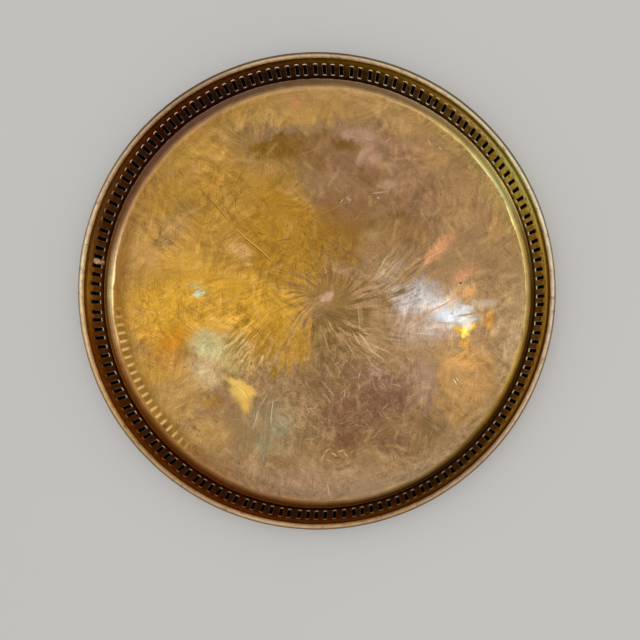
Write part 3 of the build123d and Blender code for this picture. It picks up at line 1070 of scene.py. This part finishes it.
class PanPaint(Paint):
    """The pan's old brass. The methods run in this order, and keep in the paint what later ones need."""

    def stroke_noise(self, fineness, stretch, detail, rough):
        place = self.curled * fineness + self.joined(0.0, 0.0, self.fan_radius * stretch)
        return self.span(self.noise(place, 1.0, detail=detail, rough=rough), 0.30, 0.70, -1.0, 1.0)

    def find_strokes(self):
        """Wiping strokes that leave the floor's middle along spirals, and spin lines round the plate."""
        fan = (self.drift(self.flat, 22, 4, detail=2) - FAN_MIDDLE) * LEVEL
        self.fan_out = self.unit(fan)
        self.fan_radius = self.length(fan)
        curl = self.math("LOGARITHM", (self.fan_radius + 12.0) * (1 / 30), 2.718) * -0.42
        self.curled = self.turned(self.fan_out, curl)
        inner = self.stroke_noise(11.0, 0.045, 3, 0.55)
        outer = self.stroke_noise(24.0, 0.05, 3, 0.55)
        self.strokes = outer * self.span(self.fan_radius, 24.0, 60.0)
        self.strokes += inner * self.span(self.fan_radius, 60.0, 24.0)
        self.fine_strokes = self.stroke_noise(42.0, 0.10, 4, 0.6)
        self.spin = self.noise(self.ringed(5.0), 0.7, detail=3, rough=0.7)
        self.feathered = 0.12
        for *ellipse, strength in COMBED:
            here = self.patch(self.flat, *ellipse, soft=0.7) * strength
            self.feathered = self.math("ADD", self.feathered, here, clamp=True)
        self.feathered *= self.span(self.fan_radius, 5.0, 26.0)

    def find_smears(self):
        """Long soft smears that rubbing has left in several directions, with fine hairs along them."""
        self.smears = self.hairs = 0.0
        for turn, seed, long, wide in RUBBED:
            moved = self.drift(self.flat, 60, 9, detail=1) + (seed, seed, 0)
            where = self.span(self.noise(self.flat + (seed, 90, 0), 45, detail=2), 0.40, 0.58)
            self.smears += self.streaks(moved, turn, long, wide, 3) * where
            hairs = self.streaks(moved, turn + 12, HAIR_LENGTH, HAIR_WIDTH, 1)
            self.hairs += hairs * abs(hairs) * (where + 0.3)

    def find_places(self):
        """The floor's places, moved as the tarnish was by cleaning, and the plate's parts that differ."""
        self.upper_right = self.patch(self.flat, 50, 105, 120, 80, -35, 0.6)
        self.lower = self.patch(self.flat, 15, -85, 85, 60, 0, 0.7)
        cloudy = self.drift(self.drift(self.flat, 50, 24, detail=3), 13, 8, detail=4)
        push = self.strokes * (self.feathered * 22) + self.smears * self.eased(self.upper_right, 16.0, 8.0)
        self.far_moved = (cloudy + self.fan_out * push) * LEVEL
        near = self.drift(self.drift(self.flat, 18, 9, detail=3), 5, 4, detail=3)
        self.near_moved = (near + self.fan_out * (push * 0.5)) * LEVEL
        self.wipe = self.noise(self.drift(self.flat, 12, 5), 9, detail=6, rough=0.65)
        self.way = self.direction(self.drift(self.flat, 20, 6))

    def painted(self, colour, places, rows, which, **softness):
        """A patch over the colour for each row, at the place that the function which picks by its size."""
        for i, (x, y, wide, high, strength, shade, *turn) in enumerate(rows, 1):
            patch = self.patch(places[which(wide, high)], x, y, wide, high, *turn, **softness)
            colour = self.mix(patch * strength, colour, shade)
            if i % AFTER_PATCHES == 0:
                places = [self.after(colour, place) for place in places]
        return colour, places

    def add_tarnish_and_highlight(self):
        def keeps_near(wide, high):
            return max(wide, high) < SMALL_PATCH

        places = (self.far_moved, self.near_moved)
        colour, (place, _) = self.painted(FLOOR_COLOUR, places, TARNISH_AND_HIGHLIGHT, keeps_near)
        clouds = (((70, 20, 0), 34, 0.32, (206, 168, 116)), ((20, 400, 0), 40, 0.35, (118, 86, 40)))
        for seed, size, strength, shade in clouds:
            cloud = self.span(self.noise(place + seed, size, detail=4, rough=0.6), 0.54, 0.74)
            colour = self.mix(cloud * strength, colour, shade)
        self.floor_edge = self.span(self.radius + self.smears * 6.0, *FLOOR_EDGE)
        return self.mix(self.floor_edge * 0.8, colour, self.ramp(self.way, FLOOR_EDGE_TONES))

    def add_tone(self, colour):
        """Lighter and darker strokes, smears, hairs, grit, spin lines, blotches, and painted hatching of the
        highlight on the right.
        """
        tone = self.span(self.wipe, 0.25, 0.75, 0.93, 1.07)
        tone *= self.smears * 0.86 + 1.0
        tone *= self.strokes * (self.feathered * 0.32) + 1.0
        tone *= self.fine_strokes * ((self.feathered + 0.3) * 0.12) + 1.0
        tone *= self.hairs * self.eased(self.upper_right, 3.7, 1.0) + 1.0
        grit = self.span(self.noise(self.flat, 1.3, detail=2, rough=0.6), 0.25, 0.75, -1.0, 1.0)
        tone *= grit * self.eased(self.lower, 0.11, 0.20) + 1.0
        spun_lines = self.span(self.spin, 0.2, 0.8, -1.0, 1.0)
        tone *= spun_lines * self.eased(self.floor_edge, 0.07, 0.17) + 1.0
        # Painted highlight: streaks across the haze round the small softbox's reflection.
        highlight_hatch = self.streaks(self.flat, 92, 6.0, 0.5, 1) * self.patch(self.flat, 116, -20, 44, 44, soft=0.5)
        tone *= highlight_hatch * 1.1 + 1.0
        blotches = self.noise(self.drift(self.flat, 8, 5, detail=2), 6, detail=5, rough=0.75)
        tone *= self.span(blotches, 0.3, 0.7, -0.22, 0.22) * self.lower + 1.0
        return self.shaded(colour, tone)

    def add_lines(self, colour):
        """Scratches, flecks and spots, most of them in the lower part."""
        bent = self.drift(self.flat, 60, 7, detail=1)
        broad_light = self.scratches(bent + (41, 7, 0), 24, 2.6, 0.6, core=0.0)
        broad_dark = self.scratches(bent + (5, 57, 0), 26, 2.4, 0.6, core=0.0)
        colour = self.mix(broad_light * 0.18, colour, (226, 186, 122))
        colour = self.mix(broad_dark * 0.18, colour, (112, 78, 32))
        light = self.scratches(bent, 60, 0.34, 0.3) * 0.30 + self.scratches(bent, 15, 0.28, 0.4) * 0.45
        tiny = self.scratches(self.drift(self.flat, 9, 2.5, detail=1), 12, 0.26, 0.9, long=0.55)
        light += tiny * self.eased(self.lower, 0.10, 0.27)
        light += self.pits(self.flat, 5, 0.5, 0.12) * 0.4
        light = self.math("MULTIPLY", light, self.lower + 0.5, clamp=True)
        colour = self.mix(light, colour, self.mix(self.lower, (232, 206, 152), (236, 212, 184)))
        dark = self.scratches(bent + (17, 31, 0), 24, 0.35, 0.3) * 0.35
        dark = self.math("ADD", dark, self.pits(self.flat + (3, 8, 0), 13, 0.8, 0.2) * 0.7, clamp=True)
        return self.mix(dark, colour, (84, 56, 24))

    def add_marks_and_highlight(self, colour):
        # Scratches and smears, with the painted highlight's streaks and lamp reflection.
        wavy = self.after(colour, self.drift(self.flat, 14, 0.8, detail=2) * LEVEL)
        torn = self.drift(self.drift(wavy, 9, 3.5, detail=2), 3, 2.2, detail=3) * LEVEL
        return self.painted(colour, (wavy, torn), MARKS_AND_HIGHLIGHT, lambda long, wide: wide > BROAD_MARK, soft=0.7)[0]

    def add_cove(self, colour):
        """The light and dirt that the cove catches all the way round, and the solder at its lip."""
        ragged = self.radius + (self.wipe - 0.5) * 1.6
        wandering = self.noise(self.flat, 28, detail=3) - 0.5
        cove = self.span(ragged + wandering * 4.0, *COVE_EDGE)
        streaked = self.span(self.spin, 0.25, 0.75, 0.80, 1.20) * self.span(self.wipe, 0.3, 0.7, 0.88, 1.12)
        # The cove's colour is a painted highlight and reflection that changes with direction.
        colour = self.mix(cove, colour, self.shaded(self.ramp(self.way, COVE_HIGHLIGHT_TONES), streaked))
        # Light through the slots lies across the lower left of the floor's edge.
        where = self.span(self.facing(207), cos(radians(26)), cos(radians(12)))
        where = where * self.span(ragged, *TEETH_START) * self.span(self.radius, *TEETH_END)
        teeth = self.math("SINE", self.direction(self.flat) * (2 * pi * SLOT_COUNT))
        colour = self.mix(self.span(teeth, 0.12, 0.92) * (where * 0.7), colour, (240, 200, 136))
        # The solder at the lip, with its painted highlights.
        return self.mix(self.span(self.radius, *LIP_EDGE), colour, self.ramp(self.way, SOLDER_AND_HIGHLIGHT_TONES))


def pan_material():
    """Old brass, in layers."""
    paint = PanPaint("pan_brass_old")
    paint.find_strokes()
    paint.find_smears()
    paint.find_places()
    colour = paint.add_tarnish_and_highlight()
    for layer in (paint.add_tone, paint.add_lines, paint.add_marks_and_highlight, paint.add_cove):
        colour = layer(colour)
    rough = paint.span(paint.wipe, 0.2, 0.8, 0.24, 0.36) + paint.strokes * 0.02
    relief = (paint.strokes * 0.03 + paint.fine_strokes * 0.01) * paint.feathered
    relief = relief + paint.smears * 0.03 + paint.spin * 0.012
    return paint.metal(colour, rough, paint.bump(relief, 1.0), anisotropic=0.45)


# Heights that a change of colour on the gallery starts and ends at
BEND_START = beyond(BEND.y, -4.12, -2.12)
GROOVE_START = beyond(BEND.y, 0.28, 1.28)
FOOT_DARKENING = beyond(FOOT.y, 5.7, 3.5)
BAR_START = beyond(BEND.y, -2.42, -1.82)  # the pressed bar above the slots


def gallery_material():
    paint = Paint("gallery_brass_dark")
    way = paint.direction(paint.drift(paint.place, 14, 6, detail=4))
    mottle = paint.noise(paint.place, 3.5, detail=5, rough=0.65)
    height = paint.split(paint.place)[2]
    ragged = height + (mottle - 0.5) * 1.6
    # Wall, bend and groove colours by direction: painted highlights, and painted shade in the groove.
    bend = paint.span(ragged, *BEND_START)
    colour = paint.mix(bend, paint.ramp(way, WALL_AND_HIGHLIGHT_TONES), paint.ramp(way, BEND_HIGHLIGHT_TONES))
    colour = paint.mix(paint.span(ragged, *GROOVE_START), colour, paint.ramp(way, GROOVE_SHADE_TONES))
    # Darker towards the band's foot.
    colour = paint.mix(paint.span(ragged, *FOOT_DARKENING) * 0.85, colour, (38, 17, 2))
    colour = paint.shaded(colour, paint.span(mottle, 0.25, 0.75, 0.7, 1.3))
    worn = paint.span(paint.noise(paint.place, 1.6, detail=4, rough=0.7), 0.60, 0.72)
    colour = paint.mix(worn * 0.25, colour, (190, 146, 70))
    # Bare metal shows round the slots with painted highlights on it, duller at the bottom and the upper left
    # of the gallery; the pressed bar above each slot takes painted highlight and shade by direction.
    bare = paint.span(paint.number("Attribute", {}, "Fac", attribute_name="cut"), 0.35, 0.9)
    lip_highlight_colour = paint.mix(paint.span(paint.facing(140), 0.3, 0.9), (240, 222, 190), (186, 162, 146))
    lip_highlight_colour = paint.mix(paint.span(paint.facing(270), 0.3, 0.9), lip_highlight_colour, (176, 146, 116))
    bare_and_highlight_colour = paint.mix(paint.span(height, *BAR_START), lip_highlight_colour, paint.ramp(way, BAR_HIGHLIGHT_TONES))
    colour = paint.mix(bare, colour, bare_and_highlight_colour)
    return paint.metal(colour, paint.span(mottle, 0.2, 0.8, 0.30, 0.5), paint.bump(mottle, 0.05))


# Radii that the bead's painted dark outer side and painted lighter, brassy inner side start and end at
BEAD_OUTER = beyond(BEAD_MIDDLE.x, 0.7, 2.3)
BEAD_INNER = beyond(BEAD_MIDDLE.x, -1.1, -2.3)


def bead_material():
    paint = Paint("bead_brass_worn")
    mottle = paint.noise(paint.ringed(30.0, 0.7), 1.0, detail=6, rough=0.7)
    fine = paint.noise(paint.place, 1.0, detail=4, rough=0.7)
    colour = paint.ramp(paint.direction(paint.drift(paint.place, 14, 6)), BEAD_AND_HIGHLIGHT_TONES)
    # Painted shade: the outer side is dark, and it is wider and darker at the top of the rim.
    upper = paint.span(paint.facing(85), 0.2, 0.8)
    ragged = paint.radius + mottle * 2.0
    outer = paint.span(ragged + upper, *BEAD_OUTER)
    colour = paint.mix(outer * 0.85, colour, paint.mix(upper, (112, 88, 70), (62, 48, 36)))
    # Painted highlight: the inner side lighter.
    colour = paint.mix(paint.span(ragged, *BEAD_INNER) * 0.25, colour, (226, 176, 96))
    colour = paint.shaded(colour, paint.span(mottle, 0.3, 0.7, 0.72, 1.25))
    pits = paint.pits(paint.place, 2.4, 0.7, 0.35, flat=False)
    colour = paint.mix(pits * 0.6, colour, (96, 68, 36))
    grime = paint.span(paint.noise(paint.place, 7, detail=5, rough=0.6), 0.56, 0.68)
    colour = paint.mix(grime * 0.5, colour, (128, 90, 44))
    normal = paint.bump(fine - pits, 0.08, paint.bump(mottle, 0.14))
    return paint.metal(colour, paint.span(fine, 0.2, 0.8, 0.42, 0.6), normal, metallic=0.7)


def solder_material():
    paint = Paint("old_solder")
    mottle = paint.noise(paint.place, 2.0, detail=6, rough=0.65)
    height = paint.split(paint.place)[2]
    way = paint.direction(paint.drift(paint.place, 10, 4))
    # High up under the bead the solder takes the groove's painted shade.
    groove_shade = paint.span(height, 12.0, 16.0)
    colour = paint.mix(groove_shade, paint.ramp(way, SOLDER_AND_HIGHLIGHT_TONES), paint.ramp(way, GROOVE_SHADE_TONES))
    colour = paint.shaded(colour, paint.span(mottle, 0.3, 0.7, 0.7, 1.35))
    # The seam's smear is a paler solder.
    seam = towards(radians(SEAM_DIRECTION)) * RIM_RADIUS
    smear = paint.span(paint.length(paint.flat - (*seam, 0)), 18.0, 14.0)
    smear = smear * paint.span(height, 7.0, 8.5) * paint.span(height, 20.0, 19.0)
    smear_colour = paint.mix(paint.span(mottle, 0.35, 0.6), (186, 124, 78), (255, 236, 214))
    colour = paint.mix(smear, colour, smear_colour)
    return paint.metal(colour, paint.span(mottle, 0.2, 0.8, 0.35, 0.55), paint.bump(mottle, 0.12))


def wire_material():
    paint = Paint("wire_brass_drawn")
    lines = paint.noise(paint.ringed(8.0), 0.3, detail=3, rough=0.6)
    colour = paint.mix(paint.span(lines, 0.3, 0.7), (160, 118, 58), (206, 164, 92))
    return paint.metal(colour, paint.span(lines, 0.2, 0.8, 0.3, 0.45), paint.bump(lines, 0.02))


# ---- Stage, light and camera

# In metres
STAGE_HALF = 6.0
ROOM_LIGHT = (0.50, 0.50, 0.505, 1)
SOFTBOXES = (  # name, place, the point it faces, size, radiance and colour
    ("softbox_wide", (0.10, -0.10, 1.25), (0.10, -0.10, 0), 2.0, 0.58, (1.0, 0.98, 0.95)),
    ("softbox_small", (0.25, 0.044, 0.998), (0.1125, -0.022, 0), 0.12, 4.6, (0.93, 0.97, 1.0)),
)
CAMERA_PLACE = (0.044, -0.055, 0.4978)
CAMERA_SHIFT = (-0.0815, 0.0624)
# In millimetres
CAMERA_LENS, CAMERA_SENSOR = 33.5, 36
PAINTED_SHADOW_EDGE = beyond(RIM_RADIUS, 9.5, 0.5)  # radii of the stage's painted shadow, a dark disc
PAINTED_SHADOW_MIDDLE = (-2.5, 3.1, 0)


def stage_material():
    """Pale, with a painted shadow: a dark disc behind the plate as the camera sees it, so that its slots
    look black.
    """
    paint = Paint("stage_pale")
    colour = paint.mix(paint.noise(paint.place, 400, detail=2), (222, 220, 216), (228, 226, 222))
    colour = paint.mix(paint.span(paint.length(paint.flat - PAINTED_SHADOW_MIDDLE), *PAINTED_SHADOW_EDGE), colour, (12, 11, 10))
    return paint.finished({"Base Color": colour, "Roughness": 0.9, "Specular IOR Level": 0.0})


def add_stage():
    corners = [(x * STAGE_HALF, y * STAGE_HALF, 0) for x, y in ((-1, -1), (1, -1), (1, 1), (-1, 1))]
    mesh = bpy.data.meshes.new("stage_floor")
    mesh.from_pydata(corners, [], [(0, 1, 2, 3)])
    mesh.materials.append(stage_material())
    floor = bpy.data.objects.new("stage_floor", mesh)
    bpy.context.scene.collection.objects.link(floor)


def add_softbox(name, place, aim, size, radiance, colour):
    """A round softbox, in metres. A radiance of 1 shows as white in a mirror."""
    data = bpy.data.lights.new(name, "AREA")
    data.shape = "DISK"
    data.size = size
    data.energy = radiance * pi * pi * (size / 2) ** 2
    data.color = colour
    lamp = bpy.data.objects.new(name, data)
    lamp.location = place
    lamp.rotation_euler = (Vector(aim) - Vector(place)).to_track_quat("-Z", "Y").to_euler()
    bpy.context.scene.collection.objects.link(lamp)


def add_light():
    world = bpy.data.worlds.new("studio")
    world.use_nodes = True
    background = world.node_tree.nodes["Background"]
    background.inputs["Color"].default_value = ROOM_LIGHT
    background.inputs["Strength"].default_value = 1.0
    bpy.context.scene.world = world
    for softbox in SOFTBOXES:
        add_softbox(*softbox)


def add_camera():
    """Looks straight down from beside the plate's axis, with the frame shifted back over the plate."""
    data = bpy.data.cameras.new("camera")
    data.sensor_width = CAMERA_SENSOR
    data.lens = CAMERA_LENS
    data.shift_x, data.shift_y = CAMERA_SHIFT
    camera = bpy.data.objects.new("camera", data)
    camera.location = CAMERA_PLACE
    bpy.context.scene.collection.objects.link(camera)
    bpy.context.scene.camera = camera


# ---- The scene

solder = solder_material()
pan_piece(pan_material())
gallery_piece(gallery_material())
bead_piece(bead_material())
rim_solder_piece(solder)
foot_solder_piece(solder)
seam_solder_piece(solder)
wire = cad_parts["rim_wire"]
wire.data.materials.clear()
wire.data.materials.append(wire_material())

add_stage()
add_light()
add_camera()
bpy.context.scene.view_settings.view_transform = "Standard"
